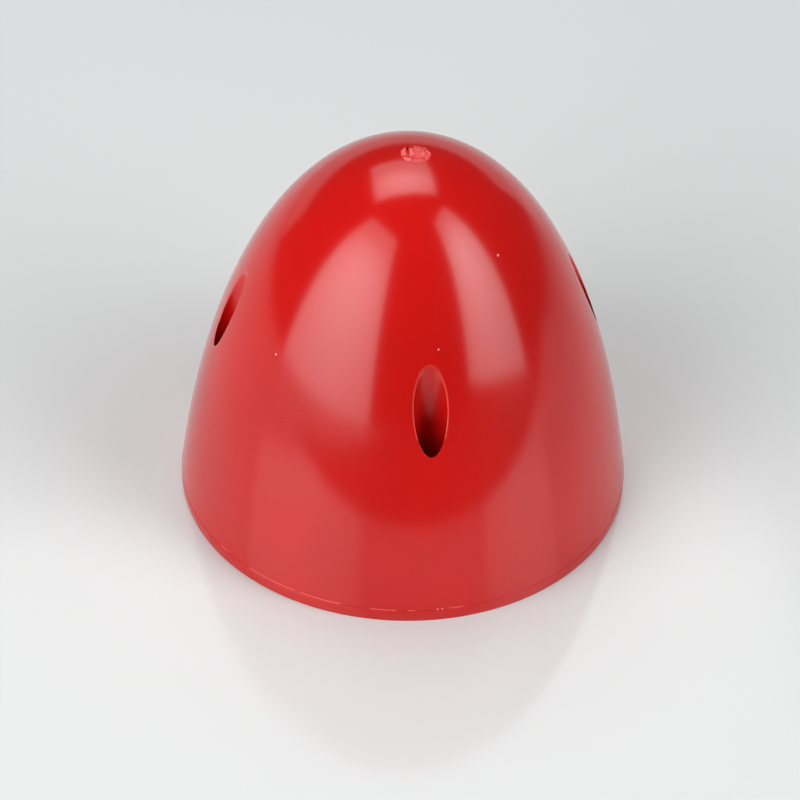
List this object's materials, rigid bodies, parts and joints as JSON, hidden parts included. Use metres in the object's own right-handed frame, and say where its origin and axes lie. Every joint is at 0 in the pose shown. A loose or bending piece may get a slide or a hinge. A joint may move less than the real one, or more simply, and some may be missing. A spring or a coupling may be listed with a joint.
{
  "type": "propeller spinner",
  "caption": "Glossy domed plastic propeller spinner with a ribbed back plate, shaft hub and recessed screw tunnels.",
  "frame": {"origin": "centre of the rear face, where the spinner rests on its rim and hub", "axes": "+Z along the shaft axis towards the nose; one screw tunnel faces -Y"},
  "size_m": [0.0824, 0.0824, 0.0724],
  "materials": {
    "red_plastic": "polished moulded surface",
    "red_plastic_plate": "moulded surface with fine sheen",
    "screw_steel": "zinc plated"
  },
  "bodies": {
    "root": {"nose_cone": "red_plastic", "back_plate": "red_plastic_plate", "screw_1": "screw_steel", "screw_2": "screw_steel", "screw_3": "screw_steel", "screw_4": "screw_steel"}
  },
  "joints": []
}
